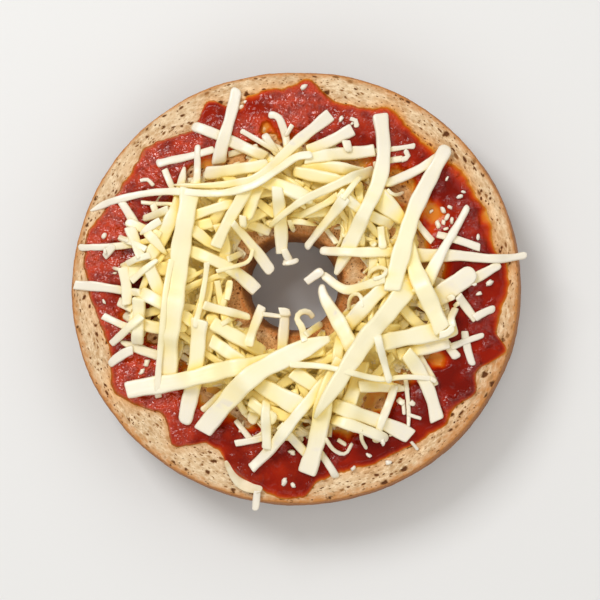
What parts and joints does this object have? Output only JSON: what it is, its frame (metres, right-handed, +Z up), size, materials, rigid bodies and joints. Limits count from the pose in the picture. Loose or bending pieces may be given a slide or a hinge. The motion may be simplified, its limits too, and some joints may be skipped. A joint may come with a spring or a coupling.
{
  "type": "pizza bagel",
  "caption": "Cut half of a wholemeal bagel with its hole, spread with tomato sauce and heaped with loose shredded cheese, before baking.",
  "frame": {"origin": "middle of the bread's flat underside", "axes": "+Z up out of the cut face, +X along the bread's longer diameter"},
  "size_m": [0.116, 0.112, 0.0298],
  "materials": {
    "bread": "matt wholemeal crumb and baked crust",
    "sauce": "wet glossy tomato sauce",
    "cheese": "waxy cream-coloured cheese"
  },
  "bodies": {
    "root": {"bagel_half": "bread", "tomato_sauce": "sauce", "shredded_cheese": "cheese", "rim_shred": "cheese"}
  },
  "joints": []
}
